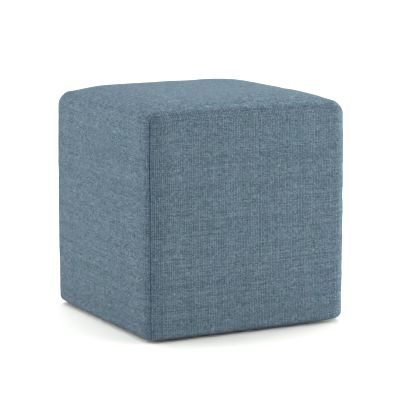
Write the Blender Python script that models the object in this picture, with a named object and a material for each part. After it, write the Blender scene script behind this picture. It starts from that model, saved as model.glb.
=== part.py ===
"""Upholstered cube pouf stool.

A padded cube block is wrapped in four side panels. They are sewn to each
other down the vertical corners and to the crowned top along a seam on the
rounded top edge, and their lower ends are turned under. A dark base cloth
closes the underside, and four low round glides lift the stool off the floor.

Metres, +Z up. Origin: centre of the square that the glides stand in, on the
floor. The front panel faces -Y and the left panel faces -X.
"""

import math
from collections import namedtuple

import bmesh
import bpy
from mathutils import Matrix, Vector

# ---------------------------------------------------------------- sizes
CORNER_SPAN = 0.3898      # across the block at the top and bottom of its corners
EDGE_RADIUS = 0.0262      # padding radius of the vertical corners and of the top edge
CORNER_SWELL = 0.0010     # how far the corners stand out at half height
PANEL_SWELL = 0.0033      # how far the middle of a panel stands out past that
PANEL_SWELL_TOP = 0.0020  # the same along the top edge
HEM_HOLD = 0.30           # part of the wall's height over which the hem holds the panel in
HEM_SHARE = 0.12          # part of its swell that a panel keeps at the hem
LIFT = 0.0055             # gap under the cloth
CORNER_HEIGHT = 0.3882    # from the cloth's lowest point to the block's top corners
EDGE_ARCH = 0.0023        # how far the middle of a top edge stands over its corners
EDGE_ARCH_POWER = 4.8
CROWN = 0.0126            # how far the top's middle stands over its edges
CROWN_POWER = 6.5
BOTTOM_RADIUS = 0.0075    # rounding where a panel turns under
CORNER_TUCK = 0.0026      # how much rounder it turns under at a corner
TUCK_REACH = 0.0270
HEM_INSET = 0.0280        # how far the turned-under edge reaches in
HEM_CORNER = 0.0120       # corner radius of the turned-under edge's inner line

CLOTH = 0.0020            # thickness of the upholstery cloth, seam allowance pressed flat
GAP = 0.0003              # clearance between neighbouring pieces
SEAM_DEG = 42.0           # where on the top edge's rounding the seam lies, 0 = side, 90 = top
SEAM_DIP = 9.0            # degrees by which the seam runs lower at a corner
DIP_REACH = 0.0120

GROOVE_DEPTH = 0.0015     # a sewn channel
GROOVE_WIDTH = 0.0022
PULL_DEPTH = 0.0009       # the soft hollow beside it, where the thread draws the padding in
PULL_WIDTH = 0.0120

BASE_INSET = 0.0165       # base cloth, from the block's corner planes
BASE_CLOTH = 0.0010
BASE_CORNER = 0.0140
GLIDE_RADIUS = 0.0125
GLIDE_EDGE = 0.0012
GLIDE_INSET = 0.0450      # glide centre, from the block's corner planes

# ---------------------------------------------------------------- tables
# Columns across one panel. Those of the rounded corner are told by their
# distance from the corner seam, those of the flat by their place from the
# middle (0) to where the corner's rounding starts (1).
CORNER_COLUMNS = (0.0, 0.0022, 0.0050, 0.0100)
FLAT_COLUMNS = (-1.0, -0.93, -0.83, -0.69, -0.49, -0.25, 0.0,
                0.25, 0.49, 0.69, 0.83, 0.93, 1.0)

Row = namedtuple("Row", "kind value")
# Rows of the cover from the turned-under edge up to the top seam.
# hem: inset in metres. turn: degrees from vertical wall (0) to underside (90).
# wall: share of the wall's height. edge: degrees on the top edge's rounding.
COVER_ROWS = (
    Row("hem", HEM_INSET),
    Row("turn", 90.0),
    Row("turn", 60.0),
    Row("turn", 30.0),
    Row("wall", 0.0),
    Row("wall", 0.22),
    Row("wall", 0.48),
    Row("wall", 0.74),
    Row("wall", 0.93),
    Row("edge", 0.0),
    Row("edge", 16.0),
    Row("edge", 28.0),
    Row("edge", 36.5),
)
# Rows above the seam, as a share of the way from the seam to the top.
CROWN_ROWS = (0.11, 0.30, 0.62, 1.0)

Colour = namedtuple("Colour", "rgb roughness")
COLOURS = {
    "upholstery": Colour((0.132, 0.190, 0.235), 0.92),
    "base": Colour((0.012, 0.013, 0.015), 0.95),
    "glide": Colour((0.015, 0.015, 0.016), 0.45),
}

HALF = CORNER_SPAN / 2
CORE = HALF - EDGE_RADIUS               # half width of the flat between the corners
CORE_TOP = LIFT + CORNER_HEIGHT - EDGE_RADIUS
ARC = EDGE_RADIUS * math.pi / 4         # from a corner seam to the start of the flat
SEAM = math.radians(SEAM_DEG)
FACING = {                              # quarter turns from the front panel
    "front": 0,
    "right": 1,
    "back": 2,
    "left": 3,
}


# ---------------------------------------------------------------- shape
def arch(x, y):
    """Height of the padding's top over its corners, at x and y from -1 to 1."""
    x, y = min(abs(x), 1.0), min(abs(y), 1.0)
    edge = EDGE_ARCH * (1 - x ** EDGE_ARCH_POWER * y ** EDGE_ARCH_POWER)
    return edge + CROWN * (1 - x ** CROWN_POWER) * (1 - y ** CROWN_POWER)


def arch_normal(x, y, step=0.002):
    """Upward normal of that surface."""

    def slope(low, high, at):
        return (at(high) - at(low)) / ((high - low) * CORE)

    sx = slope(max(x - step, -1), min(x + step, 1), lambda v: arch(v, y))
    sy = slope(max(y - step, -1), min(y + step, 1), lambda v: arch(x, v))
    return Vector((-sx, -sy, 1)).normalized()


def swell(height, across):
    """How far the wall stands out, for a height from 0 to 1 and a place across
    the flat from -1 to 1."""
    corner = CORNER_SWELL * 4 * height * (1 - height)
    panel = PANEL_SWELL + (PANEL_SWELL_TOP - PANEL_SWELL) * height ** 2
    held = min(height / HEM_HOLD, 1.0)
    held = HEM_SHARE + (1 - HEM_SHARE) * held * held * (3 - 2 * held)
    return corner, panel * held * (1 - across * across)


def dip(column):
    """How far round the top edge the seam is drawn down at a column."""
    return math.radians(SEAM_DIP) * math.exp(-((column.to_seam / DIP_REACH) ** 2))


def turn_radius(column):
    """Rounding where the panel turns under at a column."""
    return BOTTOM_RADIUS + CORNER_TUCK * math.exp(-((column.to_seam / TUCK_REACH) ** 2))


def drawn_in(to_corner_seam, to_top_seam):
    """Depth of the sewn channels and of the soft hollow beside them."""
    depth = 0.0
    for distance, pull in ((to_corner_seam, PULL_DEPTH), (to_top_seam, PULL_DEPTH * 0.5)):
        depth = max(
            depth,
            GROOVE_DEPTH * math.exp(-((distance / GROOVE_WIDTH) ** 2))
            + pull * math.exp(-((distance / PULL_WIDTH) ** 2)),
        )
    return depth


Column = namedtuple("Column", "across turn to_seam")


def columns(closed):
    """Columns of the front panel from its left seam to its right one. turn is
    the plan angle of the wall there. A closed ring leaves the last one to the
    next panel."""
    left = [Column(-1.0, -(ARC - d) / EDGE_RADIUS, d) for d in CORNER_COLUMNS]
    flat = [Column(a, 0.0, ARC + (1 - abs(a)) * CORE) for a in FLAT_COLUMNS]
    right = [Column(1.0, -c.turn, c.to_seam) for c in reversed(left)]
    return left + flat + (right[:-1] if closed else right)


def plan(column, half, radius, bulge):
    """Plan point and outward direction of the front wall at a column."""
    flat = half - radius
    outward = Vector((math.sin(column.turn), -math.cos(column.turn), 0))
    centre = Vector((column.across * flat, -flat - bulge, 0))
    return centre + outward * radius, outward


def cover_point(column, row, depth):
    """A point of the front cover at this depth under its surface."""
    top = CORE_TOP + arch(column.across, -1.0)
    radius = turn_radius(column)
    low = LIFT + radius
    to_top_seam = EDGE_RADIUS * SEAM
    if row.kind == "edge":
        angle = math.radians(row.value) * (1 - dip(column) / SEAM)
        _, bulge = swell(1.0, column.across)
        at, outward = plan(column, HALF, EDGE_RADIUS, bulge)
        normal = outward * math.cos(angle) + Vector((0, 0, math.sin(angle)))
        at = at - outward * EDGE_RADIUS + Vector((0, 0, top)) + normal * EDGE_RADIUS
        to_top_seam = EDGE_RADIUS * (SEAM - dip(column) - angle)
    elif row.kind == "wall":
        corner, bulge = swell(row.value, column.across)
        at, outward = plan(column, HALF + corner, EDGE_RADIUS, bulge)
        at.z = low + (top - low) * row.value
        normal = outward
        to_top_seam += top - at.z
    elif row.kind == "turn":
        angle = math.radians(row.value)
        inset = radius * (1 - math.cos(angle))
        _, bulge = swell(0.0, column.across)
        at, outward = plan(column, HALF - inset, EDGE_RADIUS - inset, bulge)
        at.z = low - radius * math.sin(angle)
        normal = outward * math.cos(angle) - Vector((0, 0, math.sin(angle)))
        to_top_seam += top
    else:
        at, _ = plan(column, HALF - row.value, HEM_CORNER, 0.0)
        at.z = LIFT
        normal = Vector((0, 0, -1))
        return at - normal * depth
    return at - normal * (depth + drawn_in(column.to_seam, to_top_seam))


def crown_point(column, share, depth=0.0):
    """A point of the front half-rounding above the seam: share runs from the
    seam to the top's own edge."""
    _, bulge = swell(1.0, column.across)
    at, outward = plan(column, HALF, EDGE_RADIUS, bulge)
    core = at - outward * EDGE_RADIUS
    core.z = CORE_TOP + arch(column.across, -1.0)
    up = arch_normal(column.across, -1.0)
    start = SEAM - dip(column)
    angle = start + (outward.angle(up) - start) * share
    normal = Matrix.Rotation(angle, 3, outward.cross(up).normalized()) @ outward
    to_top_seam = EDGE_RADIUS * (angle - start)
    near = column.to_seam + to_top_seam * 0.7   # the corner seam ends at the top seam
    return core + normal * (EDGE_RADIUS - depth - drawn_in(near + 0.006, to_top_seam))


def top_point(x, y):
    """A point of the crowned top inside its own edge."""
    bulge = PANEL_SWELL_TOP
    core = Vector((
        x * CORE + bulge * (1 - y * y) * x,
        y * CORE + bulge * (1 - x * x) * y,
        CORE_TOP + arch(x, y),
    ))
    return core + arch_normal(x, y) * EDGE_RADIUS


def quarter_turns(point, count):
    return Matrix.Rotation(count * math.pi / 2, 3, "Z") @ point


# ---------------------------------------------------------------- helpers
def material(name):
    found = bpy.data.materials.get(name)
    if found:
        return found
    made = bpy.data.materials.new(name)
    made.use_nodes = True
    shader = made.node_tree.nodes["Principled BSDF"]
    shader.inputs["Base Color"].default_value = (*COLOURS[name].rgb, 1)
    shader.inputs["Roughness"].default_value = COLOURS[name].roughness
    shader.inputs["Metallic"].default_value = 0.0
    return made


def add_object(name, mesh_builder, colour, parent, smooth=True):
    bmesh.ops.recalc_face_normals(mesh_builder, faces=mesh_builder.faces)
    mesh = bpy.data.meshes.new(name)
    mesh_builder.to_mesh(mesh)
    mesh_builder.free()
    if smooth:
        mesh.shade_smooth()
        mesh.set_sharp_from_angle(angle=math.radians(50))
    made = bpy.data.objects.new(name, mesh)
    made.data.materials.append(material(colour))
    made.parent = parent
    bpy.context.scene.collection.objects.link(made)
    return made


def split_quads(builder, width, half):
    """Splits each four-sided face of a mesh whose corners carry their column
    and row, the same way on every layer of the cover: along the diagonal that
    rises towards the panel's middle. width is the number of columns all round,
    or 0 for an open sheet, and half is half of one panel's columns."""
    column = builder.verts.layers.int["column"]
    row = builder.verts.layers.int["row"]
    for face in list(builder.faces):
        verts = list(face.verts)
        spots = {(v[column], v[row]) for v in verts}
        lows = {c for c, _ in spots}
        if len(verts) != 4 or len(spots) != 4 or len(lows) != 2:
            continue
        left = max(lows) if width and max(lows) - min(lows) > 1 else min(lows)
        rises = left % (2 * half) < half
        base = min(r for _, r in spots)
        ends = [v for v in verts if ((v[column] == left) == (v[row] == base)) == rises]
        bmesh.utils.face_split(face, *ends)


def next_ring(builder, edges, points, level):
    """Extrudes a ring of edges and puts its new corners at these points."""
    made = bmesh.ops.extrude_edge_only(builder, edges=edges)["geom"]
    verts = [item for item in made if isinstance(item, bmesh.types.BMVert)]
    old = {}
    for vert in verts:
        for edge in vert.link_edges:
            other = edge.other_vert(vert)
            if other not in verts:
                old[vert] = other
    column = builder.verts.layers.int["column"]
    row = builder.verts.layers.int["row"]
    for vert in verts:
        vert[column] = old[vert][column]
        vert[row] = level
        vert.co = points[vert[column]]
    return [item for item in made if isinstance(item, bmesh.types.BMEdge)
            and item.verts[0] in verts and item.verts[1] in verts]


# ---------------------------------------------------------------- pieces
def build_side_panel(name, facing, parent):
    """One cut panel with its rounded corners, its bulge and its turned-under
    lower edge: a grid laid on the cover, then thickened inwards."""
    across = columns(closed=False)
    rows = COVER_ROWS + (Row("edge", SEAM_DEG - math.degrees(GAP / EDGE_RADIUS)),)
    builder = bmesh.new()
    bmesh.ops.create_grid(builder, x_segments=len(across) - 1, y_segments=len(rows) - 1,
                          size=1.0)
    count = len(across)
    column_mark = builder.verts.layers.int.new("column")
    row_mark = builder.verts.layers.int.new("row")
    verts = sorted(builder.verts, key=lambda v: (round(v.co.y, 5), round(v.co.x, 5)))
    mitre = Vector((1, 1, 0)).normalized()

    def clear_of_seam(point):
        """Keeps half a gap from the two corner planes, x = y and x = -y."""
        for sign in (-1, 1):
            side = Vector((sign * mitre.x, mitre.y, 0))
            past = point.dot(side) + GAP / 2
            if past > 0:
                point = point - side * past
        return point

    inner = {}
    for index, vert in enumerate(verts):
        vert[row_mark], vert[column_mark] = divmod(index, count)
        row, column = rows[index // count], across[index % count]
        vert.co = quarter_turns(clear_of_seam(cover_point(column, row, 0.0)), facing)
        inner[tuple(vert.co)] = quarter_turns(
            clear_of_seam(cover_point(column, row, CLOTH)), facing)
    made = bmesh.ops.extrude_face_region(builder, geom=list(builder.faces),
                                         use_keep_orig=True)["geom"]
    for item in made:
        if isinstance(item, bmesh.types.BMVert):
            item.co = inner[tuple(item.co)]
    split_quads(builder, 0, (count - 1) // 2)
    return add_object(name, builder, "upholstery", parent)


def build_padded_block(parent):
    """The filled block: its crowned top stands level with the panels, and
    under them it is stepped in by their thickness."""
    across = columns(closed=True)
    under = CLOTH + GAP

    def ring(point_of):
        return [quarter_turns(point_of(column), turn)
                for turn in range(4) for column in across]

    hem_edge = Row("hem", HEM_INSET + GAP)
    seam_row = Row("edge", SEAM_DEG)
    rings = [ring(lambda c: cover_point(c, hem_edge, 0.0)),
             ring(lambda c: cover_point(c, hem_edge, under))]
    for row in COVER_ROWS[1:] + (seam_row,):
        rings.append(ring(lambda c, row=row: cover_point(c, row, under)))
    rings.append(ring(lambda c: cover_point(c, seam_row, 0.0)))
    for share in CROWN_ROWS[:-1]:
        rings.append(ring(lambda c, share=share: crown_point(c, share)))

    builder = bmesh.new()
    mark = builder.verts.layers.int.new("column")
    builder.verts.layers.int.new("row")
    first = []
    for index, point in enumerate(rings[0]):
        vert = builder.verts.new(point)
        vert[mark] = index
        first.append(vert)
    edges = [builder.edges.new((first[i], first[(i + 1) % len(first)]))
             for i in range(len(first))]
    bmesh.ops.contextual_create(builder, geom=edges)      # the flat underside
    for level, points in enumerate(rings[1:], 1):
        edges = next_ring(builder, edges, points, level)
    rim = {}
    for vert in {v for e in edges for v in e.verts}:
        rim[vert[mark]] = vert
    split_quads(builder, 4 * len(across), len(across) // 2)

    # the crowned top, a grid whose rim closes onto the last ring
    places = FLAT_COLUMNS
    grid = {}
    for j, y in enumerate(places):
        for i, x in enumerate(places):
            grid[i, j] = builder.verts.new(top_point(x, y))
    last = len(places) - 1
    for j in range(last):
        for i in range(last):
            builder.faces.new((grid[i, j], grid[i + 1, j], grid[i + 1, j + 1], grid[i, j + 1]))
    lead = len(CORNER_COLUMNS)
    span = len(across)

    def rim_partner(index):
        """The grid's rim point that a ring point closes onto."""
        turn, place = divmod(index, span)
        step = min(max(place - lead, 0), last)
        return grid[((step, 0), (last, step), (last - step, last), (0, last - step))[turn]]

    total = span * 4
    for index in range(total):
        after = (index + 1) % total
        corners = [rim[index], rim[after], rim_partner(after), rim_partner(index)]
        unique = list(dict.fromkeys(corners))
        builder.faces.new(unique)
    return add_object("padded_block", builder, "upholstery", parent)


def build_base_cloth(parent):
    """Flat base cloth with rounded corners, laid over the turned-under edges."""
    builder = bmesh.new()
    half = HALF - BASE_INSET
    bmesh.ops.create_grid(builder, x_segments=1, y_segments=1, size=half)
    bmesh.ops.bevel(builder, geom=list(builder.verts), affect="VERTICES",
                    offset=BASE_CORNER, segments=5, profile=0.5)
    top = LIFT - GAP
    made = bmesh.ops.extrude_face_region(builder, geom=list(builder.faces),
                                         use_keep_orig=True)["geom"]
    for vert in builder.verts:
        vert.co.z = top
    for item in made:
        if isinstance(item, bmesh.types.BMVert):
            item.co.z = top - BASE_CLOTH
    return add_object("base_cloth", builder, "base", parent, smooth=False)


def build_glide(name, x, y, parent):
    """Low round glide with a flat sole and a bevelled edge."""
    height = LIFT - GAP - BASE_CLOTH - GAP
    builder = bmesh.new()
    bmesh.ops.create_cone(builder, cap_ends=True, segments=24, radius1=GLIDE_RADIUS,
                          radius2=GLIDE_RADIUS, depth=height)
    sole = [e for e in builder.edges
            if all(v.co.z < 0 for v in e.verts)]
    bmesh.ops.bevel(builder, geom=sole, affect="EDGES", offset=GLIDE_EDGE, segments=2,
                    profile=0.5)
    made = add_object(name, builder, "glide", parent)
    made.location = (x, y, height / 2)
    return made


def main():
    for old in list(bpy.data.objects):
        bpy.data.objects.remove(old, do_unlink=True)
    stool = bpy.data.objects.new("stool", None)
    bpy.context.scene.collection.objects.link(stool)

    build_padded_block(stool)
    for side, facing in FACING.items():
        build_side_panel("side_panel_" + side, facing, stool)
    build_base_cloth(stool)
    reach = HALF - GLIDE_INSET
    for depth_name, y in (("front", -reach), ("back", reach)):
        for side_name, x in (("left", -reach), ("right", reach)):
            build_glide("glide_" + depth_name + "_" + side_name, x, y, stool)


main()
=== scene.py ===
"""Looks of the cube pouf stool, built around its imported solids.

Metres, +Z up, in the row frame. The cover is made piece by piece on one
surface: four side panels and the crowned top of the padded block, with their
sewn channels, and a base cloth. The cloth's weave is a node material that is
laid out in metres along each panel.
"""

import math

import bmesh
import bpy
import numpy as np
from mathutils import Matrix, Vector


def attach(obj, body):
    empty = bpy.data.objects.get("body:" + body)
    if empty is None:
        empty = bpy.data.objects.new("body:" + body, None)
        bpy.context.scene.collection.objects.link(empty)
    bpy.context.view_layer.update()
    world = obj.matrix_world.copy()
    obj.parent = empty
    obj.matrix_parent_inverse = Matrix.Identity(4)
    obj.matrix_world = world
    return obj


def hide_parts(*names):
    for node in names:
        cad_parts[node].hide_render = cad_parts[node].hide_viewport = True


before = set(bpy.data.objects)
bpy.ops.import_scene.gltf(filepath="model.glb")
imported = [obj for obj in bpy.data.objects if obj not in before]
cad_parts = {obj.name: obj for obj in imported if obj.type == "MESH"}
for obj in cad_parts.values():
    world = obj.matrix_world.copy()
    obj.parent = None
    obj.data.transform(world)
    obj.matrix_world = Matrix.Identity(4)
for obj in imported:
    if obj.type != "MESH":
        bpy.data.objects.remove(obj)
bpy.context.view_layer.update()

# ------------------------------------------------------------ the solids' sizes
CORNER_SPAN = 0.3898
EDGE_RADIUS = 0.0262
CORNER_SWELL = 0.0010
PANEL_SWELL = 0.0033
PANEL_SWELL_TOP = 0.0020
HEM_HOLD = 0.30           # part of the height over which the hem holds the panel in
HEM_SHARE = 0.12          # part of its swell that a panel keeps at the hem
LIFT = 0.0055
CORNER_HEIGHT = 0.3882
EDGE_ARCH = 0.0023
EDGE_ARCH_POWER = 4.8
CROWN = 0.0126
CROWN_POWER = 6.5
BOTTOM_RADIUS = 0.0075
HEM_INSET = 0.0280
HEM_CORNER = 0.0120
SEAM_DEG = 42.0
SEAM_DIP = 9.0            # degrees by which the top seam runs lower at a corner
DIP_REACH = 0.0120

# ------------------------------------------------------------ the cover's detail
CLOTH = 0.0024            # cloth with its seam allowance behind it
UNDER = 0.0029            # the padding's depth under the cover
SHOULDER = 0.0016         # radius over which the cloth rolls into a corner seam
SHOULDER_LOW = (0.40, 1.0, 1.0, 1.0)      # share of that radius low down on each corner
SHOULDER_TOP = 0.0009     # and into the top seam
PULL_DEPTH = 0.0011       # hollow beside a corner seam
PULL_DEPTH_TOP = 0.0006   # and beside the top seam
PULL_WIDTH = 0.0115
PUCKER = 0.00035          # unevenness of that hollow along the seam
# at each corner, from the front left one on round by the right: how far the
# folded hem hangs, and how much rounder the panels turn under there
DROOP = (0.0020, 0.0002, 0.0006, 0.0003)
DROOP_REACH = 0.0150
DRAWN_UP = (0.0, 0.0, 0.0, 0.0011)        # how far each panel's hem is drawn up between
TUCK = (0.0006, 0.0034, 0.0030, 0.0040)
TUCK_REACH = 0.0270
WANDER = (0.0012, 0.0026) # how far the front left seam runs to the left, low and high
WANDER_HEIGHT = (0.20, 0.32)
WANDER_REACH = 0.090
UNEVEN = 0.00035          # soft unevenness of the padded faces
HALF_GAP = 0.00012        # half of what is left open between two panels

HALF = CORNER_SPAN / 2
CORE = HALF - EDGE_RADIUS
CORE_TOP = LIFT + CORNER_HEIGHT - EDGE_RADIUS
ARC = EDGE_RADIUS * math.pi / 4
SEAM = math.radians(SEAM_DEG)
LOW = LIFT + BOTTOM_RADIUS
REACH = CORE + ARC                        # from a panel's middle to its corner seam

HEM_RUN = HEM_INSET - BOTTOM_RADIUS
TURN_RUN = BOTTOM_RADIUS * math.pi / 2
WALL_RUN = CORE_TOP - LOW
EDGE_RUN = EDGE_RADIUS * SEAM
TURN_AT = HEM_RUN
WALL_AT = TURN_AT + TURN_RUN
EDGE_AT = WALL_AT + WALL_RUN
TOP_AT = EDGE_AT + EDGE_RUN               # the whole run from the hem's edge to the seam

FACING = {"front": 0, "right": 1, "back": 2, "left": 3}
NEAR_SEAM = (0.0, 0.00012, 0.0003, 0.00055, 0.00085, 0.0012, 0.0016, 0.0021, 0.0028,
             0.0038, 0.0052, 0.0070, 0.0094, 0.0125, 0.0163)
FLAT_STEPS = 80
SIM_STEPS = 44


# ------------------------------------------------------------ smooth unevenness
def ripples(u, v, seed, longest, shortest, count=14):
    """A smooth random field of about unit size, the same each time."""
    dice = np.random.default_rng(seed)
    total = np.zeros(np.broadcast(u, v).shape)
    for _ in range(count):
        length = longest * (shortest / longest) ** dice.random()
        angle = dice.random() * math.pi
        phase = dice.random() * 2 * math.pi
        wave = 2 * math.pi / length
        total = total + np.sin(wave * (u * math.cos(angle) + v * math.sin(angle)) + phase)
    return total / math.sqrt(count / 2)


# ------------------------------------------------------------ the cover's surface
def arch(x, y):
    x, y = np.minimum(np.abs(x), 1.0), np.minimum(np.abs(y), 1.0)
    edge = EDGE_ARCH * (1 - x ** EDGE_ARCH_POWER * y ** EDGE_ARCH_POWER)
    return edge + CROWN * (1 - x ** CROWN_POWER) * (1 - y ** CROWN_POWER)


def arch_normal(x, y, step=0.002):
    x, y = np.broadcast_arrays(np.asarray(x, float), np.asarray(y, float))

    def slope(at, value):
        low, high = np.maximum(value - step, -1), np.minimum(value + step, 1)
        return (at(high) - at(low)) / ((high - low) * CORE)

    normal = np.stack([-slope(lambda v: arch(v, y), x), -slope(lambda v: arch(x, v), y),
                       np.ones_like(x)], -1)
    return normal / np.linalg.norm(normal, axis=-1, keepdims=True)


def swell(height, across):
    corner = CORNER_SWELL * 4 * height * (1 - height)
    panel = PANEL_SWELL + (PANEL_SWELL_TOP - PANEL_SWELL) * height ** 2
    held = np.clip(height / HEM_HOLD, 0, 1)
    held = HEM_SHARE + (1 - HEM_SHARE) * held * held * (3 - 2 * held)
    return corner, panel * held * (1 - across * across)


def dip(s):
    """How far round the top edge the top seam is drawn down at this place."""
    return math.radians(SEAM_DIP) * np.exp(-(((REACH - np.abs(s)) / DIP_REACH) ** 2))


def column_of(s):
    """Place across the flat and plan angle of the wall, s metres from the
    panel's middle along the cloth."""
    across = np.clip(s / CORE, -1, 1)
    turn = np.sign(s) * np.maximum(np.abs(s) - CORE, 0) / EDGE_RADIUS
    return across, turn


def plan(across, turn, half, radius, bulge):
    flat = half - radius
    outward = np.stack([np.sin(turn), -np.cos(turn), np.zeros_like(turn)], -1)
    centre = np.stack([across * flat, -flat - bulge, np.zeros_like(turn)], -1)
    return centre + outward * np.asarray(radius)[..., None], outward


UP = np.array([0.0, 0.0, 1.0])


def wall_surface(s, t, tucks=(max(TUCK), max(TUCK))):
    """Points and outward normals of the front panel's plain surface: s runs
    across it from its middle, t up it from the turned-under edge. tucks are
    those of its left and right corner."""
    s, t = np.broadcast_arrays(np.asarray(s, float), np.asarray(t, float))
    across, turn = column_of(s)
    ones = np.ones_like(s)
    top = CORE_TOP + arch(across, -1.0)
    tuck = np.where(s < 0, tucks[0], tucks[1])
    round_off = BOTTOM_RADIUS + tuck * np.exp(-(((REACH - np.abs(s)) / TUCK_REACH) ** 2))
    low = LIFT + round_off

    height = np.clip((t - WALL_AT) / WALL_RUN, 0, 1)
    corner, bulge = swell(height, across)
    wall, outward = plan(across, turn, HALF + corner, EDGE_RADIUS * ones, bulge)
    wall = wall + UP * (low + (top - low) * height)[..., None]

    angle = np.clip((t - EDGE_AT) / EDGE_RADIUS, 0, None) * (1 - dip(s) / SEAM)
    _, bulge = swell(ones, across)
    edge, _ = plan(across, turn, HALF * ones, EDGE_RADIUS * ones, bulge)
    edge_normal = outward * np.cos(angle)[..., None] + UP * np.sin(angle)[..., None]
    edge = edge - outward * EDGE_RADIUS + UP * top[..., None] + edge_normal * EDGE_RADIUS

    def turned(angle):
        inset = round_off * (1 - np.cos(angle))
        _, bulge = swell(0 * ones, across)
        at, _ = plan(across, turn, HALF - inset, EDGE_RADIUS - inset, bulge)
        return at + UP * (low - round_off * np.sin(angle))[..., None]

    angle = np.clip(1 - (t - TURN_AT) / TURN_RUN, 0, 1) * math.pi / 2
    under = turned(angle)
    under_normal = outward * np.cos(angle)[..., None] - UP * np.sin(angle)[..., None]

    share = np.clip(t / HEM_RUN, 0, 1)[..., None]
    inner, _ = plan(across, turn, (HALF - HEM_INSET) * ones, HEM_CORNER * ones, 0 * ones)
    inner = inner + UP * LIFT
    hem = inner * (1 - share) + turned(ones * math.pi / 2) * share

    point = np.where((t >= EDGE_AT)[..., None], edge, wall)
    point = np.where((t < WALL_AT)[..., None], under, point)
    point = np.where((t < TURN_AT)[..., None], hem, point)
    normal = np.where((t >= EDGE_AT)[..., None], edge_normal, outward)
    normal = np.where((t < WALL_AT)[..., None], under_normal, normal)
    return point, normal


def hang(s, t, facing):
    """How far the folded hem hangs under its plain line, next to a corner seam."""
    fold = np.clip(2 * t / HEM_RUN - 1, 0, 1) * np.clip((WALL_AT + 0.010 - t) / 0.014, 0, 1)
    drop = np.where(s < 0, DROOP[facing], DROOP[(facing + 1) % 4])
    near = np.exp(-(((REACH - np.abs(s)) / DROOP_REACH) ** 2))
    drop = drop * near - DRAWN_UP[facing] * (1 - near)
    return UP * (drop * fold * fold * (3 - 2 * fold))[..., None]


def roll(distance, radius):
    """How deep the cloth lies where it rolls into a seam."""
    short = np.clip(radius - distance, 0, radius)
    return radius - np.sqrt(radius ** 2 - short ** 2)


def hollow(distance, depth):
    return depth * np.exp(-((distance / PULL_WIDTH) ** 2))


def panel_relief(s, t, facing, swelling):
    """Height of a side panel's cloth over its plain surface."""
    to_corner = REACH - np.abs(s)
    to_top = TOP_AT - t
    side = np.where(s < 0, facing, (facing + 1) % 4)      # the corner that is near
    along_corner = ripples(t, side * 0.31, 11, 0.060, 0.016)
    along_top = ripples(s, facing * 0.37, 12, 0.070, 0.018)
    taut = np.clip((t - 0.12) / 0.18, 0, 1)
    slack = np.array(SHOULDER_LOW)[side]
    taut = slack + (1 - slack) * taut * taut * (3 - 2 * taut)
    depth = np.maximum(roll(to_corner, SHOULDER * taut), roll(to_top, SHOULDER_TOP))
    depth = depth + hollow(to_corner, PULL_DEPTH + PUCKER * along_corner)
    depth = depth + hollow(to_top, PULL_DEPTH_TOP + PUCKER * 0.8 * along_top)
    calm = np.clip(to_corner / 0.03, 0, 1) * np.clip(to_top / 0.03, 0, 1)
    calm = calm * np.clip((t - WALL_AT) / 0.04, 0, 1)
    soft = UNEVEN * ripples(s, t, 20 + facing, 0.150, 0.045) * calm
    return soft - depth + swelling


def turned_to(facing, point):
    x, y = point[..., 0], point[..., 1]
    for _ in range(facing):
        x, y = -y, x
    return np.stack([x, y, point[..., 2]], -1)


def clear_of_mitre(point, half_gap):
    """Keeps the front panel's points off the two corner planes, x = y, x = -y."""
    point = point.copy()
    for sign in (-1, 1):
        past = (sign * point[..., 0] + point[..., 1]) / math.sqrt(2) + half_gap
        past = np.maximum(past, 0) / math.sqrt(2)
        point[..., 0] -= sign * past
        point[..., 1] -= past
    return point


def wandered(point):
    """Draws the cloth round the front left corner a little to the left, so that
    the seam there runs beside the corner's middle, more so in its upper half."""
    a, b = -point[..., 0] - CORE, -point[..., 1] - CORE
    away = np.where(a < 0, b, np.where(b < 0, a, np.hypot(a, b)))
    away = np.where((a < 0) & (b < 0), 0.0, away)
    turn = np.arctan2(np.maximum(b, 0), np.maximum(a, 1e-9)) - math.pi / 4
    along = np.where(a < 0, ARC - a, np.where(b < 0, b - ARC, turn * EDGE_RADIUS))
    near = 1 - np.clip(np.abs(along) / WANDER_REACH, 0, 1)
    near = near * near * (3 - 2 * near)
    outer = np.clip(away / (0.7 * EDGE_RADIUS), 0, 1)
    outer = outer * outer * (3 - 2 * outer)
    high = np.clip((point[..., 2] - WANDER_HEIGHT[0]) / (WANDER_HEIGHT[1] - WANDER_HEIGHT[0]), 0, 1)
    high = high * high * (3 - 2 * high)
    along = along - (WANDER[0] + (WANDER[1] - WANDER[0]) * high) * near * outer
    turn = np.clip(along / EDGE_RADIUS, -math.pi / 4, math.pi / 4) + math.pi / 4
    past = np.maximum(np.abs(along) - ARC, 0)
    a = np.where(along > ARC, -past, away * np.cos(turn))
    b = np.where(along < -ARC, -past, away * np.sin(turn))
    moved = np.stack([-a - CORE, -b - CORE, point[..., 2]], -1)
    return np.where((outer > 0)[..., None], moved, point)


def crown_frame(s):
    """For the front half-rounding above the seam: the rounding's centre line,
    the outward direction, the direction square to it and the angle up to the
    top's own edge."""
    across, turn = column_of(s)
    ones = np.ones_like(across)
    _, bulge = swell(ones, across)
    at, outward = plan(across, turn, HALF * ones, EDGE_RADIUS * ones, bulge)
    centre = at - outward * EDGE_RADIUS + UP * (CORE_TOP + arch(across, -1.0))[..., None]
    up = arch_normal(across, -1.0 * ones)
    lean = (up * outward).sum(-1, keepdims=True)
    square = up - outward * lean
    square = square / np.linalg.norm(square, axis=-1, keepdims=True)
    return centre, outward, square, np.arccos(np.clip(lean[..., 0], -1, 1)), across


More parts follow.
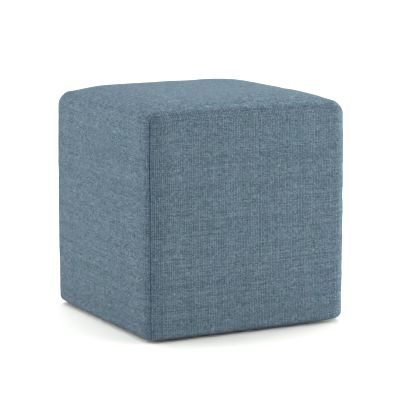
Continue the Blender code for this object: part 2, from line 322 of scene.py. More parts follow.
def crown_point(s, rise):
    """Plain point and normal at rise metres above the seam, measured along the
    rounding, and what is left of it up to the top's own edge."""
    centre, outward, square, whole, across = crown_frame(s)
    length = (whole - SEAM + dip(s)) * EDGE_RADIUS
    angle = SEAM - dip(s) + rise / EDGE_RADIUS
    normal = outward * np.cos(angle)[..., None] + square * np.sin(angle)[..., None]
    point = centre + normal * EDGE_RADIUS
    lay = centre[..., :2] + outward[..., :2] * (whole - angle)[..., None] * EDGE_RADIUS
    return point, normal, lay, length


def top_plain(x, y):
    bulge = PANEL_SWELL_TOP
    centre = np.stack([x * CORE + bulge * (1 - y * y) * x,
                       y * CORE + bulge * (1 - x * x) * y,
                       CORE_TOP + arch(x, y)], -1)
    normal = arch_normal(x, y)
    return centre + normal * EDGE_RADIUS, normal, centre[..., :2]


def top_relief(lay, to_seam, along, swelling):
    depth = roll(to_seam, SHOULDER_TOP)
    depth = depth + hollow(to_seam, PULL_DEPTH_TOP + PUCKER * 0.8 * along)
    calm = np.clip(to_seam / 0.035, 0, 1)
    soft = UNEVEN * 0.7 * ripples(lay[..., 0], lay[..., 1], 49, 0.170, 0.055) * calm
    return soft - depth + swelling


# ------------------------------------------------------------ cloth over the filling
SLACK = 0.0030            # how much smaller the filling is than the finished shape
SLACK_TOP = 0.0040
SWELL_CAP = 0.0062        # the furthest that a point of the cover may move
LOOSE = 0.0022            # how far the settled cloth stands off its mean level
TIGHTEN = 0.0008          # and what is kept of that
SIM_FRAMES = 20


def slack_window(s, t):
    side = np.clip((REACH - np.abs(s)) / 0.07, 0, 1)
    up = np.clip((TOP_AT - t) / 0.07, 0, 1) * np.clip((t - WALL_AT) / 0.07, 0, 1)
    smooth = side * side * (3 - 2 * side) * up * up * (3 - 2 * up)
    return smooth


def settle_cover():
    """Lays the cover as one thin cloth on a slightly smaller filling, sewn down
    at the seams and the bottom edge, and lets the filling press it out. Returns
    how far each part of the cloth then stands off the finished shape, drawn
    tight so that the finished sizes hold."""
    s_line = np.linspace(-REACH, REACH, SIM_STEPS + 1)
    t_line = np.concatenate([[WALL_AT], np.linspace(WALL_AT, TOP_AT, SIM_STEPS + 1)[1:]])
    places, pinned, index, faces = [], [], {}, []

    def vertex(point, pin):
        key = tuple(np.round(point, 5))
        if key not in index:
            index[key] = len(places)
            places.append(point)
            pinned.append(pin)
        else:
            pinned[index[key]] = max(pinned[index[key]], pin)
        return index[key]

    grids = {}
    s, t = np.meshgrid(s_line, t_line, indexing="ij")
    plain, normal = wall_surface(s, t)
    start = plain - normal * (SLACK * slack_window(s, t))[..., None]
    for name, facing in FACING.items():
        at = turned_to(facing, start)
        ids = np.zeros(s.shape, int)
        for i in range(s.shape[0]):
            for j in range(s.shape[1]):
                edge = i in (0, s.shape[0] - 1) or j in (0, s.shape[1] - 1)
                ids[i, j] = vertex(at[i, j], 1.0 if edge else 0.0)
        grids[name] = (ids, turned_to(facing, normal), turned_to(facing, plain),
                       slack_window(s, t))
        for i in range(s.shape[0] - 1):
            for j in range(s.shape[1] - 1):
                faces.append((ids[i, j], ids[i + 1, j], ids[i + 1, j + 1], ids[i, j + 1]))

    # the top: a square grid of its own, whose rim is pinned on the top's edge
    x_line = np.linspace(-1, 1, SIM_STEPS + 1)
    x, y = np.meshgrid(x_line, x_line, indexing="ij")
    plain, normal, _ = top_plain(x, y)
    inside = np.clip((1 - np.abs(x)) / 0.42, 0, 1) * np.clip((1 - np.abs(y)) / 0.42, 0, 1)
    inside = inside * inside * (3 - 2 * inside)
    start = plain - normal * (SLACK_TOP * inside)[..., None]
    ids = np.zeros(x.shape, int)
    for i in range(x.shape[0]):
        for j in range(x.shape[1]):
            edge = i in (0, x.shape[0] - 1) or j in (0, x.shape[1] - 1)
            ids[i, j] = vertex(start[i, j], 1.0 if edge else 0.0)
    grids["top"] = (ids, normal, plain, inside)
    for i in range(x.shape[0] - 1):
        for j in range(x.shape[1] - 1):
            faces.append((ids[i, j], ids[i + 1, j], ids[i + 1, j + 1], ids[i, j + 1]))

    mesh = bpy.data.meshes.new("cover_at_rest")
    mesh.from_pydata([tuple(p) for p in places], [], faces)
    mesh.update()
    cover = bpy.data.objects.new("cover_at_rest", mesh)
    bpy.context.scene.collection.objects.link(cover)
    group = cover.vertex_groups.new(name="sewn")
    for number, pin in enumerate(pinned):
        if pin:
            group.add([number], pin, "REPLACE")
    cloth = cover.modifiers.new("cloth", "CLOTH")
    settings = cloth.settings
    settings.quality = 6
    settings.mass = 0.35
    settings.tension_stiffness = 18
    settings.compression_stiffness = 18
    settings.shear_stiffness = 8
    settings.bending_stiffness = 20
    settings.air_damping = 4
    settings.vertex_group_mass = "sewn"
    settings.pin_stiffness = 1.0
    settings.use_pressure = True
    settings.uniform_pressure_force = 1.6
    settings.effector_weights.gravity = 0.0
    cloth.collision_settings.use_collision = False
    cloth.point_cache.frame_start = 1
    cloth.point_cache.frame_end = SIM_FRAMES
    for number in range(1, SIM_FRAMES + 1):
        bpy.context.scene.frame_set(number)
    shown = cover.evaluated_get(bpy.context.evaluated_depsgraph_get())
    after = np.zeros(len(places) * 3, np.float32)
    shown.data.vertices.foreach_get("co", after)
    after = after.reshape(-1, 3).astype(float)
    before = np.array(places)
    bpy.context.scene.frame_set(1)
    bpy.data.objects.remove(cover, do_unlink=True)
    bpy.data.meshes.remove(mesh)

    off = {}
    for name, (ids, normal, plain, window) in grids.items():
        moved = ((after[ids] - before[ids]) * normal).sum(-1)
        moved = np.clip(moved, -SWELL_CAP, SWELL_CAP)
        stands = ((before[ids] - plain) * normal).sum(-1) + moved
        mean = (stands * window).sum() / window.sum()
        off[name] = TIGHTEN * np.tanh((stands - mean * window) / LOOSE)
        print("settled", name, "moved mm", round(float(moved.max()) * 1000, 2),
              "off mm", round(float(stands.min()) * 1000, 2),
              round(float(stands.max()) * 1000, 2))
    return off


def sampled(field, a, b):
    """Reads a square field at places a and b from 0 to 1, smoothly."""
    if field is None:
        return np.zeros(np.broadcast(a, b).shape)
    a, b = np.broadcast_arrays(a, b)
    last = field.shape[0] - 1
    i, j = np.clip(a, 0, 1) * last, np.clip(b, 0, 1) * last
    i0, j0 = np.minimum(i.astype(int), last - 1), np.minimum(j.astype(int), last - 1)
    fi, fj = i - i0, j - j0
    fi, fj = fi * fi * (3 - 2 * fi) * 0.5 + fi * 0.5, fj * fj * (3 - 2 * fj) * 0.5 + fj * 0.5
    return ((field[i0, j0] * (1 - fi) + field[i0 + 1, j0] * fi) * (1 - fj)
            + (field[i0, j0 + 1] * (1 - fi) + field[i0 + 1, j0 + 1] * fi) * fj)


# ------------------------------------------------------------ helpers for pieces
def link(name, mesh, material, smooth_deg=48):
    mesh.update()
    mesh.shade_smooth()
    mesh.set_sharp_from_angle(angle=math.radians(smooth_deg))
    made = bpy.data.objects.new(name, mesh)
    made.data.materials.append(material)
    bpy.context.scene.collection.objects.link(made)
    return made


def mesh_of(name, points, quads, lays):
    """A mesh with its cloth layout in metres as the UV map weave. lays has one
    pair for each point."""
    mesh = bpy.data.meshes.new(name)
    mesh.from_pydata([tuple(p) for p in points], [], [tuple(q) for q in quads])
    layer = mesh.uv_layers.new(name="weave")
    loops = np.zeros(len(mesh.loops), np.int32)
    mesh.loops.foreach_get("vertex_index", loops)
    layer.data.foreach_set("uv", np.asarray(lays, np.float32)[loops].ravel())
    return mesh


def mark_seams(mesh, to_corner, to_top):
    """Stores how far each point lies from its corner seam and its top seam."""
    for name, values in (("to_corner", to_corner), ("to_top", to_top)):
        layer = mesh.attributes.new(name, "FLOAT", "POINT")
        layer.data.foreach_set("value", np.asarray(values, np.float32).ravel())


def grid_quads(ids, flip=False):
    a, b, c, d = ids[:-1, :-1], ids[1:, :-1], ids[1:, 1:], ids[:-1, 1:]
    quads = np.stack([a, b, c, d], -1).reshape(-1, 4)
    return quads[:, ::-1] if flip else quads


def columns_across():
    """s of every column of a panel, fine beside its two corner seams."""
    near = [-(REACH - d) for d in NEAR_SEAM]
    flat = list(np.linspace(-CORE, CORE, FLAT_STEPS + 1))
    return np.array(near + flat + [-s for s in reversed(near)])


def rows_up():
    """t of every row of a panel, fine beside the top seam."""
    hem = list(np.linspace(0, TURN_AT, 4)[:-1])
    turn = list(np.linspace(TURN_AT, WALL_AT, 8)[:-1])
    wall = list(np.linspace(WALL_AT, EDGE_AT, FLAT_STEPS)[:-1])
    near = [TOP_AT - d for d in NEAR_SEAM if d < EDGE_RUN]
    return np.array(hem + turn + wall + [EDGE_AT] + list(reversed(near)))


# ------------------------------------------------------------ pieces
def build_panel(name, facing, swelling, material):
    s, t = np.meshgrid(columns_across(), rows_up(), indexing="ij")
    plain, normal = wall_surface(s, t, (TUCK[facing], TUCK[(facing + 1) % 4]))
    plain = plain - hang(s, t, facing)
    rest = sampled(swelling, (s / REACH + 1) / 2, (t - WALL_AT) / (TOP_AT - WALL_AT))
    rest = rest * np.clip((t - WALL_AT) / 0.02, 0, 1)
    relief = panel_relief(s, t, facing, rest)
    outer = clear_of_mitre(plain + normal * relief[..., None], HALF_GAP)
    sunk = np.minimum(relief, 0) * 0 + np.minimum(-CLOTH, relief - 0.0006)
    inner = clear_of_mitre(plain + normal * sunk[..., None], HALF_GAP + 0.0002)
    count = s.size
    points = np.concatenate([turned_to(facing, outer).reshape(-1, 3),
                             turned_to(facing, inner).reshape(-1, 3)])
    points = wandered(points)
    ids = np.arange(count).reshape(s.shape)
    quads = [grid_quads(ids), grid_quads(ids + count, flip=True)]
    for line in (ids[0, ::-1], ids[-1, :], ids[:, 0], ids[::-1, -1]):
        quads.append(np.stack([line[1:], line[:-1], line[:-1] + count, line[1:] + count], -1))
    offset = np.array([0.53 * facing, 0.0])
    lays = np.stack([s, t], -1).reshape(-1, 2) + offset
    mesh = mesh_of(name, points, np.concatenate(quads), np.concatenate([lays, lays]))
    to_corner, to_top = REACH - np.abs(s), TOP_AT - t
    mark_seams(mesh, np.concatenate([to_corner, to_corner]), np.concatenate([to_top, to_top]))
    return link(name, mesh, material)


def build_pad(swelling, material):
    """The padded block: the crowned top, its rounded edge down to the seam, and
    the filling under the side panels."""
    s_all = columns_across()
    s_ring = s_all[:-1]
    span = len(s_ring)
    lead = len(NEAR_SEAM)
    points, lays, to_seam, rings = [], [], [], []

    def add(block, lay, away):
        start = sum(len(p) for p in points)
        points.append(block.reshape(-1, 3))
        lays.append(lay.reshape(-1, 2))
        to_seam.append(away.ravel())
        return np.arange(start, start + block.reshape(-1, 3).shape[0])

    def ring(make):
        at, lay, away = make(s_ring)
        blocks = [turned_to(f, at) for f in range(4)]
        lay3 = np.concatenate([lay, np.zeros((len(lay), 1))], -1)
        turned = [turned_to(f, lay3)[:, :2] for f in range(4)]
        rings.append(add(np.concatenate(blocks), np.concatenate(turned), np.tile(away, 4)))

    def below(t, depth):
        def make(s):
            at, normal = wall_surface(s, t * np.ones_like(s))
            return at - normal * depth, np.stack([s, -0.2 - 0 * s], -1), 0 * s
        return make

    def above(share, near):
        def make(s):
            _, _, _, length = crown_point(s, np.zeros_like(s))
            rise = np.full_like(s, near) if share is None else near + (length - near) * share
            rise = np.minimum(rise, length)
            at, normal, lay, _ = crown_point(s, rise)
            along = ripples(s, 0.0, 13, 0.070, 0.018)
            relief = top_relief(lay, rise + 0.0, along, 0.0)
            corner = np.exp(-(((REACH - np.abs(s)) / 0.008) ** 2))
            relief = relief - 0.0007 * corner * np.exp(-((rise / 0.008) ** 2))
            return at + normal * relief[..., None], lay, rise
        return make

    for t in (0.004, TURN_AT, WALL_AT - TURN_RUN / 2, WALL_AT, WALL_AT + WALL_RUN * 0.3,
              WALL_AT + WALL_RUN * 0.6, WALL_AT + WALL_RUN * 0.9, EDGE_AT,
              EDGE_AT + EDGE_RUN * 0.5, TOP_AT - 0.002):
        ring(below(t, UNDER))
    ring(below(TOP_AT, UNDER))
    near = [d for d in NEAR_SEAM if d < 0.0055]
    for distance in near:
        ring(above(None, distance))
    for share in (0.2, 0.42, 0.66, 0.86):
        ring(above(share, near[-1]))

    x_line = np.linspace(-1, 1, FLAT_STEPS + 1)
    x, y = np.meshgrid(x_line, x_line, indexing="ij")
    plain, normal, lay = top_plain(x, y)
    to_rim = CORE * (1 - np.maximum(np.abs(x), np.abs(y)))
    length = crown_point(np.maximum(np.abs(x), np.abs(y)) * 0, 0 * x)[3]
    along = np.zeros_like(x)
    rest = sampled(swelling, (x + 1) / 2, (y + 1) / 2)
    relief = top_relief(lay, to_rim + length, along, rest)
    grid = add(plain + normal * relief[..., None], lay, to_rim + length).reshape(x.shape)

    quads = []
    total = span * 4
    for low, high in zip(rings[:-1], rings[1:]):
        quads.append(np.stack([low, np.roll(low, -1), np.roll(high, -1), high], -1))
    quads.append(grid_quads(grid))
    last = FLAT_STEPS
    rim = []
    for turn in range(4):
        for place in range(span):
            step = min(max(place - lead, 0), last)
            rim.append(grid[((step, 0), (last, step), (last - step, last),
                             (0, last - step))[turn]])
    faces = [tuple(int(v) for v in q) for q in np.concatenate(quads)]
    top = rings[-1]
    for k in range(total):
        after = (k + 1) % total
        corners = [int(top[k]), int(top[after]), int(rim[after]), int(rim[k])]
        faces.append(tuple(dict.fromkeys(corners)))
    faces.append(tuple(int(v) for v in rings[0][::-1]))
    places = wandered(np.concatenate(points))
    mesh = bpy.data.meshes.new("cube_pad")
    mesh.from_pydata([tuple(p) for p in places], [], faces)
    layer = mesh.uv_layers.new(name="weave")
    loops = np.zeros(len(mesh.loops), np.int32)
    mesh.loops.foreach_get("vertex_index", loops)
    all_lays = np.concatenate(lays).astype(np.float32) + np.float32([0.31, 1.07])
    layer.data.foreach_set("uv", all_lays[loops].ravel())
    away = np.concatenate(to_seam)
    mark_seams(mesh, np.full_like(away, 0.1), away)
    return link("cube_pad", mesh, material)


def build_base(material):
    """Thin cloth over the turned-under edges, a little slack between its fixings."""
    inset, corner, top, thick = 0.0165, 0.0140, LIFT - 0.0003, 0.0010
    half = HALF - inset
    steps = 56
    line = np.linspace(-1, 1, steps + 1)
    x, y = np.meshgrid(line, line, indexing="ij")
    # the square's corners are rounded by drawing the grid in along the diagonal
    reach = np.maximum(np.abs(x), np.abs(y))
    near = np.clip((np.abs(x) + np.abs(y) - 1.86) / 0.14, 0, 1) * reach
    draw = 1 - near * corner * 0.2929 * 1.25 / half
    px, py = x * half * draw, y * half * draw
    calm = np.clip((1 - reach) / 0.12, 0, 1)
    sag = calm * (0.0005 + 0.0003 * ripples(px, py, 51, 0.14, 0.03))
    edge = 0.00015 * ripples(px, py, 52, 0.05, 0.012)
    upper = np.stack([px, py, top - sag - np.clip(edge, 0, 1)], -1)
    lower = upper - UP * thick
    count = x.size
    ids = np.arange(count).reshape(x.shape)
    quads = [grid_quads(ids), grid_quads(ids + count, flip=True)]
    for rim in (ids[0, ::-1], ids[-1, :], ids[:, 0], ids[::-1, -1]):
        quads.append(np.stack([rim[1:], rim[:-1], rim[:-1] + count, rim[1:] + count], -1))
    lays = np.stack([px, py], -1).reshape(-1, 2)
    mesh = mesh_of("underside_cloth", np.concatenate([upper.reshape(-1, 3), lower.reshape(-1, 3)]),
                   np.concatenate(quads), np.concatenate([lays, lays]))
    return link("underside_cloth", mesh, material)


# ------------------------------------------------------------ materials
class Nodes:
    """Short names for building a material's nodes."""

    def __init__(self, name):
        self.material = bpy.data.materials.new(name)
        self.material.use_nodes = True
        self.tree = self.material.node_tree
        self.shader = self.tree.nodes["Principled BSDF"]

    def put(self, socket, value):
        if hasattr(value, "is_output") or isinstance(value, bpy.types.NodeSocket):
            self.tree.links.new(value, socket)
        else:
            socket.default_value = value

    def math(self, kind, a, b=None, c=None, clamp=False):
        node = self.tree.nodes.new("ShaderNodeMath")
        node.operation = kind
        node.use_clamp = clamp
        for socket, value in zip(node.inputs, (a, b, c)):
            if value is not None:
                self.put(socket, value)
        return node.outputs[0]

    def add(self, a, b):
        return self.math("ADD", a, b)

    def sub(self, a, b):
        return self.math("SUBTRACT", a, b)

    def mul(self, a, b):
        return self.math("MULTIPLY", a, b)

    def join(self, x, y, z=0.0):
        node = self.tree.nodes.new("ShaderNodeCombineXYZ")
        for socket, value in zip(node.inputs, (x, y, z)):
            self.put(socket, value)
        return node.outputs[0]

    def split(self, vector):
        node = self.tree.nodes.new("ShaderNodeSeparateXYZ")
        self.put(node.inputs[0], vector)
        return node.outputs

    def layout(self):
        node = self.tree.nodes.new("ShaderNodeUVMap")
        node.uv_map = "weave"
        return node.outputs[0]

    def mark(self, name):
        node = self.tree.nodes.new("ShaderNodeAttribute")
        node.attribute_name = name
        return node.outputs["Fac"]

    def noise(self, vector, scale, detail=2.0, rough=0.5, dims="3D"):
        node = self.tree.nodes.new("ShaderNodeTexNoise")
        node.noise_dimensions = dims
        self.put(node.inputs["Vector"], vector)
        node.inputs["Scale"].default_value = scale
        node.inputs["Detail"].default_value = detail
        node.inputs["Roughness"].default_value = rough
        return node.outputs["Fac"]

    def white(self, vector):
        node = self.tree.nodes.new("ShaderNodeTexWhiteNoise")
        node.noise_dimensions = "3D"
        self.put(node.inputs["Vector"], vector)
        return node.outputs["Value"]

    def span(self, value, low, high, to_low=0.0, to_high=1.0, smooth=False):
        node = self.tree.nodes.new("ShaderNodeMapRange")
        node.interpolation_type = "SMOOTHSTEP" if smooth else "LINEAR"
        node.clamp = True
        for socket, item in zip(node.inputs, (value, low, high, to_low, to_high)):
            self.put(socket, item)
        return node.outputs[0]

    def blend(self, factor, a, b, kind="MIX"):
        node = self.tree.nodes.new("ShaderNodeMix")
        node.data_type = "RGBA"
        node.blend_type = kind
        node.clamp_factor = True
        self.put(node.inputs[0], factor)
        for socket, value in ((node.inputs[6], a), (node.inputs[7], b)):
            self.put(socket, value if isinstance(value, bpy.types.NodeSocket) else (*value, 1))
        return node.outputs[2]

    def ramp(self, value, stops):
        node = self.tree.nodes.new("ShaderNodeValToRGB")
        self.put(node.inputs[0], value)
        bar = node.color_ramp
        while len(bar.elements) < len(stops):
            bar.elements.new(0.5)
        for element, (place, colour) in zip(bar.elements, stops):
            element.position = place
            element.color = (*colour, 1)
        return node.outputs[0]

    def bump(self, height, distance, strength=1.0, under=None):
        node = self.tree.nodes.new("ShaderNodeBump")
        node.inputs["Strength"].default_value = strength
        node.inputs["Distance"].default_value = distance
        self.put(node.inputs["Height"], height)
        if under is not None:
            self.put(node.inputs["Normal"], under)
        return node.outputs[0]

    def fixed(self, **values):
        for name, value in values.items():
            self.shader.inputs[name.replace("_", " ")].default_value = value


WARP_PITCH = 0.0033       # one upright yarn
WEFT_PITCH = 0.0029       # one level yarn
DARK_YARN = (0.0591, 0.0932, 0.1210)
MID_YARN = (0.1103, 0.1641, 0.2060)
LIGHT_YARN = (0.2014, 0.2674, 0.3132)
CREASE = 0.0011           # how far the shade of a seam's crease reaches
CREASE_SHADE = 0.82
CREASE_SHADE_LOW = 0.91   # low down, where the seam lies more open
CREASE_SHADE_TOP = 0.92
STITCH = 0.0036


def weave_material():
    """Heathered basket weave in blue-grey, its yarns laid out in metres."""
    n = Nodes("upholstery_weave")
    lay = n.layout()
    u0, v0, _ = n.split(lay)

    # yarns wander a little, and are not all equally thick
    drift_u = n.noise(lay, 26.0, 2.0)
    drift_v = n.noise(n.join(v0, u0, 3.7), 24.0, 2.0)
    uneven = n.noise(n.join(n.mul(u0, 0.05), v0, 6.1), 170.0, 1.0)
    u = n.add(u0, n.mul(n.sub(drift_u, 0.5), 0.0034))
    v = n.add(v0, n.mul(n.sub(drift_v, 0.5), 0.0040))
    v = n.add(v, n.mul(n.sub(uneven, 0.5), 0.0036))
    warp = n.math("DIVIDE", u, WARP_PITCH)
    weft = n.math("DIVIDE", v, WEFT_PITCH)
    iu, iv = n.math("FLOOR", warp), n.math("FLOOR", weft)
    fu, fv = n.sub(warp, iu), n.sub(weft, iv)
    su = n.math("SINE", n.mul(warp, math.pi))
    sv = n.math("SINE", n.mul(weft, math.pi))

    def round_yarn(fraction, power):
        middle = n.sub(n.mul(fraction, 2.0), 1.0)
        return n.math("POWER", n.math("SUBTRACT", 1.0, n.mul(middle, middle), clamp=True), power)

    crest_warp = round_yarn(fu, 0.55)
    crest_weft = round_yarn(fv, 0.55)
    warp_up = n.mul(n.math("SIGN", su), sv)
    weft_up = n.mul(n.mul(n.math("SIGN", sv), su), -1.0)
    lift = n.white(n.join(iu, iv, 12.0))
    rise = n.span(lift, 0.0, 1.0, -0.26, 0.44)
    z_warp = n.add(n.mul(warp_up, rise), n.mul(crest_warp, 1.05))
    z_weft = n.add(n.mul(weft_up, rise), n.mul(crest_weft, 0.90))
    on_top = n.span(n.sub(z_warp, z_weft), -0.10, 0.10, smooth=True)
    height = n.math("MAXIMUM", z_warp, z_weft)

    # each yarn's own shade, its slubs along its length, and the speckle of its fibres
    own_warp = n.white(n.join(iu, 0.0, 1.0))
    own_weft = n.white(n.join(0.0, iv, 2.0))
    slub_warp = n.noise(n.join(n.mul(iu, 3.17), n.mul(v, 130.0), 5.0), 1.0, 3.0, 0.65)
    slub_weft = n.noise(n.join(n.mul(u, 100.0), n.mul(iv, 2.71), 9.0), 1.0, 3.0, 0.65)
    cell = n.white(n.join(iu, iv, 4.0))
    pick = n.noise(n.join(n.mul(u, 50.0), n.mul(iv, 3.71), 14.0), 1.0, 2.0, 0.6)
    paired = n.sub(n.mul(n.math("FRACT", n.mul(iu, 0.5)), 2.0), 0.5)
    fleck = n.white(n.join(n.math("FLOOR", n.mul(u, 720.0)), n.math("FLOOR", n.mul(v, 830.0)), 16.0))
    speckle = n.add(n.mul(n.sub(pick, 0.5), 0.30), n.mul(n.sub(fleck, 0.5), 0.44))
    mixed = n.mul(n.span(v0, 0.60, 0.80, 1.0, 1.5), n.span(u0, 1.28, 1.38, 1.0, 1.35))
    speckle = n.mul(speckle, mixed)           # the top's and the left panel's yarns are more mixed
    shared = n.add(n.add(n.mul(n.sub(own_weft, 0.5), 0.07), n.mul(paired, 0.042)), speckle)
    fibre_warp = n.noise(n.join(n.mul(u, 3200.0), n.mul(v, 520.0), 1.0), 1.0, 2.0, 0.6)
    fibre_weft = n.noise(n.join(n.mul(u, 520.0), n.mul(v, 3200.0), 2.0), 1.0, 2.0, 0.6)

    def yarn(own, slub, fibre, lift):
        tone = n.add(n.mul(own, 0.09), n.mul(slub, 0.12))
        tone = n.add(n.add(tone, shared), n.mul(cell, 0.06))
        tone = n.add(tone, n.mul(fibre, 0.30))
        return n.add(tone, lift)

    tone_warp = yarn(own_warp, slub_warp, fibre_warp, 0.175)
    tone_weft = yarn(own_weft, slub_weft, fibre_weft, 0.075)
    tone = n.add(n.mul(tone_warp, on_top), n.mul(tone_weft, n.math("SUBTRACT", 1.0, on_top)))
    colour = n.ramp(tone, ((0.18, DARK_YARN), (0.50, MID_YARN), (0.86, LIGHT_YARN)))

    # light reaches less of what lies deep between the yarns
    open_share = n.span(height, 0.15, 1.10, 0.55, 1.15, smooth=False)

    def gap(fraction, cross, own, depth, power):
        """Dark slit between two yarns, deeper at some crossings than at others."""
        edge = n.math("POWER", n.math("ABSOLUTE", n.sub(n.mul(fraction, 2.0), 1.0)), power)
        return n.math("SUBTRACT", 1.0, n.mul(n.mul(edge, own), depth))

    between_warp = n.math("FLOOR", n.add(warp, 0.5))
    between_weft = n.math("FLOOR", n.add(weft, 0.5))
    slit_u = n.span(n.white(n.join(between_warp, iv, 6.0)), 0.0, 1.0, 0.32, 0.80)
    slit_v = n.white(n.join(n.math("FLOOR", n.mul(warp, 0.55)), between_weft, 7.0))
    open_share = n.mul(open_share, gap(fu, iv, slit_u, 0.62, 2.2))
    open_share = n.mul(open_share, gap(fv, iu, slit_v, 0.56, 2.2))
    shade = n.join(open_share, open_share, open_share)
    colour = n.blend(1.0, colour, shade, "MULTIPLY")

    # broad, faint drift of hue and depth over the cloth
    patch = n.noise(lay, 21.0, 3.0, 0.55)
    tint = n.blend(n.span(patch, 0.36, 0.64, smooth=True), (0.975, 1.012, 0.990), (1.022, 0.990, 1.012))
    colour = n.blend(1.0, colour, tint, "MULTIPLY")
    worn = n.noise(n.join(v0, u0, 8.0), 11.0, 2.0, 0.5)
    depth = n.span(worn, 0.30, 0.70, 0.984, 1.016, smooth=True)
    colour = n.blend(1.0, colour, n.join(depth, depth, depth), "MULTIPLY")

    # the seams: shaded in their crease, and drawn in at each stitch
    to_corner, to_top = n.mark("to_corner"), n.mark("to_top")
    deep = n.span(v0, 0.12, 0.30, CREASE_SHADE_LOW, CREASE_SHADE, smooth=True)
    open_seam = n.span(to_corner, 0.0003, CREASE, smooth=True)
    crease = n.mul(n.add(deep, n.mul(n.math("SUBTRACT", 1.0, deep), open_seam)),
                   n.span(to_top, 0.0003, CREASE, CREASE_SHADE_TOP, 1.0, smooth=True))
    crease = n.join(n.math("POWER", crease, 1.2), crease, n.math("POWER", crease, 0.8))
    colour = n.blend(1.0, colour, crease, "MULTIPLY")
    # painted shade: within 2 cm of a corner seam the cloth is painted darker and bluer, up to 11%
    beside = n.span(to_corner, 0.004, 0.020, smooth=True)
    colour = n.blend(1.0, colour, n.blend(beside, (0.892, 0.925, 0.968), (1.0, 1.0, 1.0)), "MULTIPLY")
    # painted shade: out to 5 cm from a corner seam the cloth is painted up to 3% darker
    drawn = n.span(to_corner, 0.018, 0.048, 0.970, 1.0, smooth=True)
    # painted light: the lowest 10 cm of each side panel's wall is painted up to 4% lighter, in place of
    # light thrown up by the floor
    painted_floor_bounce = n.span(v0, 0.03, 0.13, 1.038, 1.0, smooth=True)
    edges = n.mul(drawn, painted_floor_bounce)
    colour = n.blend(1.0, colour, n.join(edges, edges, edges), "MULTIPLY")
    # painted shade: the padded block's cloth, the top, is painted 1 to 4% darker and slightly bluer
    painted_top_shade = n.span(v0, 0.60, 0.80)
    colour = n.blend(1.0, colour, n.blend(painted_top_shade, (1.0, 1.0, 1.0), (0.960, 0.978, 0.986)), "MULTIPLY")
    n.put(n.shader.inputs["Base Color"], colour)
    stitch = n.add(
        n.mul(n.math("SINE", n.mul(v0, 2 * math.pi / STITCH)),
              n.span(to_corner, 0.0, 0.0034, 1.0, 0.0, smooth=True)),
        n.mul(n.math("SINE", n.mul(u0, 2 * math.pi / STITCH)),
              n.span(to_top, 0.0, 0.0034, 1.0, 0.0, smooth=True)))

    fibres = n.add(n.mul(fibre_warp, on_top),
                   n.mul(fibre_weft, n.math("SUBTRACT", 1.0, on_top)))
    slubs = n.add(n.mul(slub_warp, on_top),
                  n.mul(slub_weft, n.math("SUBTRACT", 1.0, on_top)))
    relief = n.add(height, n.mul(fibres, 0.22))
    relief = n.add(relief, n.mul(slubs, 2.6))
    relief = n.add(n.add(relief, n.mul(cell, 0.9)), n.mul(stitch, 0.5))
    n.put(n.shader.inputs["Roughness"], n.span(fibres, 0.3, 0.7, 0.84, 0.98))
    n.put(n.shader.inputs["Normal"], n.bump(relief, 0.00058, 0.85))
    n.fixed(Metallic=0.0, Specular_IOR_Level=0.06, Sheen_Weight=0.02, Sheen_Roughness=0.42)
    n.shader.inputs["Sheen Tint"].default_value = (0.78, 0.88, 1.0, 1)
    return n.material


def nonwoven_material():
    """Black nonwoven cloth: pressed dots in rows over a fibre mat."""
    n = Nodes("nonwoven_black")
    lay = n.layout()
    u, v, _ = n.split(lay)
    pitch = 0.0016
    a = n.math("SINE", n.mul(n.add(u, v), math.pi * 2 / (pitch * 1.414)))
    b = n.math("SINE", n.mul(n.sub(u, v), math.pi * 2 / (pitch * 1.414)))
    dots = n.span(n.mul(a, b), 0.25, 0.7, smooth=True)
    fibre = n.noise(lay, 1400.0, 4.0, 0.7)
    cloud = n.noise(lay, 60.0, 3.0, 0.5)
    tone = n.add(n.mul(fibre, 0.6), n.mul(cloud, 0.4))
    colour = n.ramp(tone, ((0.3, (0.006, 0.0065, 0.0075)), (0.7, (0.022, 0.023, 0.026))))
    n.put(n.shader.inputs["Base Color"], colour)
    n.put(n.shader.inputs["Roughness"], n.span(dots, 0.0, 1.0, 0.95, 0.72))
    n.put(n.shader.inputs["Normal"], n.bump(n.sub(fibre, n.mul(dots, 0.8)), 0.00012, 0.8))
    n.fixed(Metallic=0.0, Specular_IOR_Level=0.25)
    return n.material


def glide_material():
    """Black moulded plastic, finely grained and scuffed on its sole."""
    n = Nodes("glide_plastic")
    node = n.tree.nodes.new("ShaderNodeTexCoord")
    place = node.outputs["Object"]
    grain = n.noise(place, 2600.0, 3.0, 0.6)
    scuff = n.noise(place, 240.0, 5.0, 0.7)
    colour = n.ramp(scuff, ((0.42, (0.012, 0.012, 0.013)), (0.75, (0.050, 0.050, 0.052))))
    n.put(n.shader.inputs["Base Color"], colour)
    n.put(n.shader.inputs["Roughness"], n.span(scuff, 0.35, 0.7, 0.38, 0.66))
    n.put(n.shader.inputs["Normal"], n.bump(grain, 0.00008, 0.5))
    n.fixed(Metallic=0.0, Specular_IOR_Level=0.5)
    return n.material


# ------------------------------------------------------------ camera, floor and light
CAMERA = {"focal_px": 1994.9, "azimuth": -27.872, "elevation": 9.487, "distance": 3.5791,
          "right": 0.00368, "up": 0.00483, "target": 0.1995}

# soft lights at infinity: where each comes from, its spread and its strength
LIGHTS = (
    ("light_front", -30.0, 60.0, 60.0, 0.172),
    ("light_back", 150.0, 55.0, 60.0, 0.902),
    ("light_back_left", -150.0, 40.0, 70.0, 0.503),
    ("light_right", 75.0, 25.0, 70.0, 0.168),
    ("light_left_low", -85.0, 18.0, 24.0, 0.383),
    ("light_right_low", 40.0, 16.0, 24.0, 0.419),
    ("light_side_low", 100.0, 12.0, 22.0, 0.776),
    ("light_side_lowest", 80.0, 6.0, 11.0, 0.686),
)
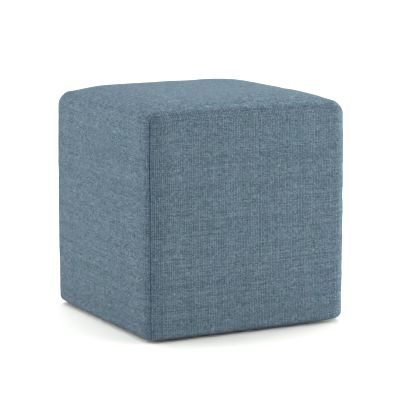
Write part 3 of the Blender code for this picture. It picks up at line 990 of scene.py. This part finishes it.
# soft panels near the stool: where each stands, how far, its side and its power
PANELS = (
    ("panel_light_right", 60.0, 20.0, 1.4, 0.9, 9.8),
    ("panel_light_left", -100.0, 30.0, 1.4, 0.9, 7.8),
)
SKY = 0.01
FLOOR_TONE = 0.80


def direction(azimuth, elevation):
    a, e = math.radians(azimuth), math.radians(elevation)
    return Vector((math.sin(a) * math.cos(e), -math.cos(a) * math.cos(e), math.sin(e)))


def build_camera():
    data = bpy.data.cameras.new("photo_camera")
    data.sensor_fit = "HORIZONTAL"
    data.sensor_width = 36.0
    data.lens = CAMERA["focal_px"] * 36.0 / 400.0
    data.clip_start, data.clip_end = 0.05, 200.0
    camera = bpy.data.objects.new("photo_camera", data)
    back = direction(CAMERA["azimuth"], CAMERA["elevation"])
    side = (-back).cross(Vector((0, 0, 1))).normalized()
    up = side.cross(-back)
    camera.location = (Vector((0, 0, CAMERA["target"])) + back * CAMERA["distance"]
                       + side * CAMERA["right"] + up * CAMERA["up"])
    camera.rotation_mode = "QUATERNION"
    camera.rotation_quaternion = (-back).to_track_quat("-Z", "Y")
    bpy.context.scene.collection.objects.link(camera)
    bpy.context.scene.camera = camera


def build_stage():
    mesh = bpy.data.meshes.new("floor")
    size = 60.0
    mesh.from_pydata([(-size, -size, 0), (size, -size, 0), (size, size, 0), (-size, size, 0)],
                     [], [(0, 1, 2, 3)])
    floor = bpy.data.objects.new("floor", mesh)
    bpy.context.scene.collection.objects.link(floor)
    n = Nodes("pale_floor")
    n.shader.inputs["Base Color"].default_value = (FLOOR_TONE, FLOOR_TONE * 1.002,
                                                   FLOOR_TONE * 0.965, 1)
    n.fixed(Roughness=0.9, Specular_IOR_Level=0.0)
    mesh.materials.append(n.material)

    world = bpy.data.worlds.new("studio")
    bpy.context.scene.world = world
    world.use_nodes = True
    nodes, links = world.node_tree.nodes, world.node_tree.links
    ground = nodes["Background"]
    ground.inputs["Color"].default_value = (1.0, 1.0, 1.0, 1)
    ground.inputs["Strength"].default_value = SKY
    # past the floor's edge the studio is seen as pale as the floor
    beyond = nodes.new("ShaderNodeBackground")
    beyond.inputs["Color"].default_value = (1.0, 1.0, 0.99, 1)
    beyond.inputs["Strength"].default_value = 1.0
    seen = nodes.new("ShaderNodeLightPath")
    either = nodes.new("ShaderNodeMixShader")
    links.new(seen.outputs["Is Camera Ray"], either.inputs[0])
    links.new(ground.outputs[0], either.inputs[1])
    links.new(beyond.outputs[0], either.inputs[2])
    links.new(either.outputs[0], nodes["World Output"].inputs["Surface"])

    for name, azimuth, elevation, spread, strength in LIGHTS:
        data = bpy.data.lights.new(name, "SUN")
        data.energy = strength * math.pi
        data.angle = math.radians(spread)
        lamp = bpy.data.objects.new(name, data)
        lamp.rotation_mode = "QUATERNION"
        lamp.rotation_quaternion = direction(azimuth, elevation).to_track_quat("Z", "Y")
        bpy.context.scene.collection.objects.link(lamp)

    for name, azimuth, elevation, distance, side, power in PANELS:
        data = bpy.data.lights.new(name, "AREA")
        data.shape = "SQUARE"
        data.size = side
        data.energy = power
        lamp = bpy.data.objects.new(name, data)
        lamp.rotation_mode = "QUATERNION"
        lamp.rotation_quaternion = direction(azimuth, elevation).to_track_quat("Z", "Y")
        lamp.location = Vector((0, 0, 0.2)) + direction(azimuth, elevation) * distance
        bpy.context.scene.collection.objects.link(lamp)


# ------------------------------------------------------------ the stool
build_camera()
build_stage()
scene = bpy.context.scene
scene.view_settings.view_transform = "Standard"
scene.view_settings.look = "None"

settled = settle_cover()
weave = weave_material()
pad = build_pad(settled.get("top"), weave)
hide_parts("padded_block")
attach(pad, "root")
for side, facing in FACING.items():
    panel = build_panel("panel_" + side, facing, settled.get(side), weave)
    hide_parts("side_panel_" + side)
    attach(panel, "root")

base = build_base(nonwoven_material())
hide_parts("base_cloth")
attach(base, "root")

glide = glide_material()
for name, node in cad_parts.items():
    if name.startswith("glide_"):
        node.data.materials.clear()
        node.data.materials.append(glide)
